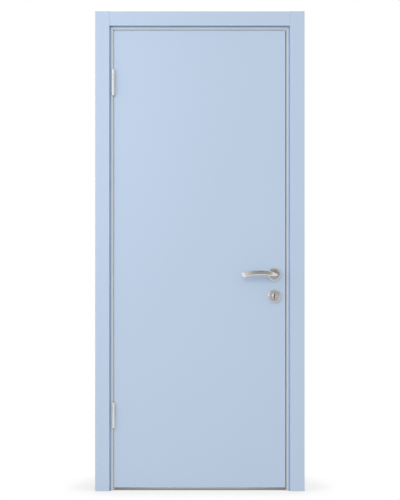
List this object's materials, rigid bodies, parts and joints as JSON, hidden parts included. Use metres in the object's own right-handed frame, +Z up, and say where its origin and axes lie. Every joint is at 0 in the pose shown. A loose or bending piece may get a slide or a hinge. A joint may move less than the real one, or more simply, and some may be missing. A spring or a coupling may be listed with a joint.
{
  "type": "flush interior door in its frame",
  "caption": "Pale blue flush interior door hung on butt hinges in a flat-architrave frame, with lever handles on round roses and a round key escutcheon below.",
  "frame": {"origin": "foot of the hinge jamb's wall face, at floor level and in the middle of the jamb's depth", "axes": "+X from the hinge side to the lock side, +Y from the opening side into the wall, +Z up"},
  "size_m": [0.93, 0.1655, 2.13],
  "materials": {
    "blue_paint": "satin paint",
    "grey_seal": "soft matt",
    "satin_nickel": "satin nickel",
    "hinge_steel": "brushed"
  },
  "bodies": {
    "frame": {"hinge_jamb": "blue_paint", "strike_jamb": "blue_paint", "head_jamb": "blue_paint", "hinge_stop": "blue_paint", "strike_stop": "blue_paint", "head_stop": "blue_paint", "hinge_seal": "grey_seal", "strike_seal": "grey_seal", "head_seal": "grey_seal", "front_architrave_left": "blue_paint", "front_architrave_right": "blue_paint", "front_architrave_head": "blue_paint", "back_architrave_left": "blue_paint", "back_architrave_right": "blue_paint", "back_architrave_head": "blue_paint", "strike_plate": "hinge_steel", "upper_hinge_frame_plate": "hinge_steel", "lower_hinge_frame_plate": "hinge_steel", "upper_hinge_bearing": "hinge_steel", "lower_hinge_bearing": "hinge_steel", "upper_hinge_pin": "hinge_steel", "lower_hinge_pin": "hinge_steel"},
    "leaf": {"front_skin": "blue_paint", "back_skin": "blue_paint", "hinge_stile": "blue_paint", "lock_stile": "blue_paint", "top_rail": "blue_paint", "bottom_rail": "blue_paint", "upper_hinge_leaf_plate": "hinge_steel", "lower_hinge_leaf_plate": "hinge_steel", "front_rosette": "satin_nickel", "back_rosette": "satin_nickel", "front_escutcheon": "satin_nickel", "back_escutcheon": "satin_nickel", "lock_case": "hinge_steel", "lock_faceplate": "hinge_steel", "latch_bolt": "hinge_steel", "dead_bolt": "hinge_steel"},
    "levers": {"front_lever": "satin_nickel", "back_lever": "satin_nickel", "spindle": "satin_nickel"}
  },
  "joints": [
    {"name": "leaf_swing", "type": "hinge", "parent": "frame", "child": "leaf", "pos_m": [0.0305, -0.057, 1], "axis": [0, 0, -1], "range_deg": [0, 170]},
    {"name": "lever_turn", "type": "hinge", "parent": "leaf", "child": "levers", "pos_m": [0.745, -0.03, 0.963], "axis": [0, -1, 0], "range_deg": [0, 40], "stiffness_Nm_per_rad": 1.2, "springref_deg": -28.65}
  ]
}
